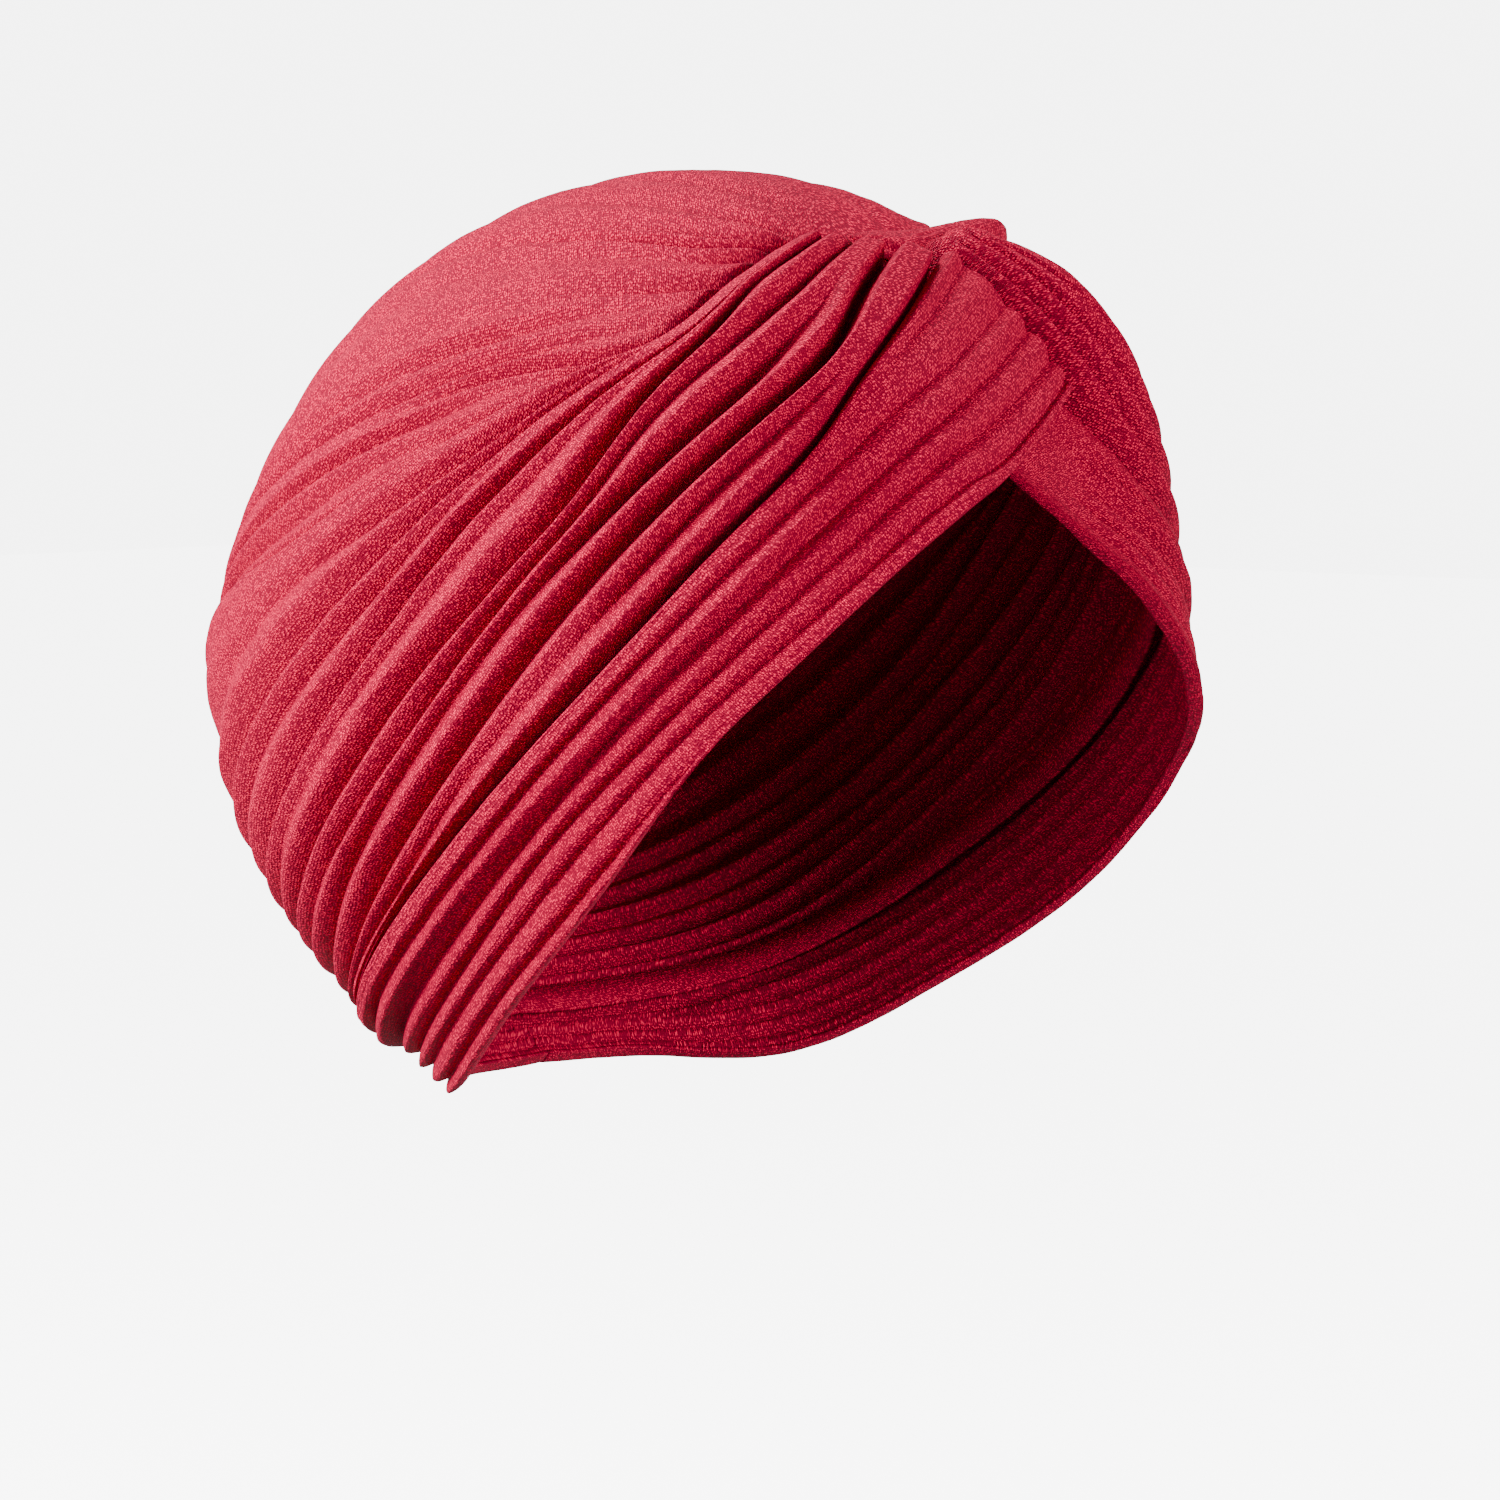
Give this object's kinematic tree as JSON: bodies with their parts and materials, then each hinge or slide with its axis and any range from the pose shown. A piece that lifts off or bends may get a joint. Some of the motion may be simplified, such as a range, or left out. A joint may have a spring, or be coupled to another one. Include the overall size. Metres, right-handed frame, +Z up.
{
  "type": "turban headwrap",
  "caption": "Pleated jersey turban headwrap that covers the head, with a front twist, two fans of pleats and crossed ribbed brow bands.",
  "frame": {"origin": "top of the head inside the crown, where the wrap sits on the head", "axes": "+Z up, the front faces -Y, the wearer's right is -X"},
  "size_m": [0.1731, 0.1941, 0.1827],
  "materials": {
    "crown_cloth": "fine ribbed red jersey, soft sheen",
    "drape_cloth": "fine ribbed red jersey, soft sheen",
    "band_cloth": "fine ribbed red jersey, soft sheen"
  },
  "bodies": {
    "root": {"crown": "crown_cloth", "right_drape": "drape_cloth", "left_drape": "drape_cloth", "left_band": "band_cloth", "right_band": "band_cloth", "twist": "crown_cloth"}
  },
  "joints": []
}
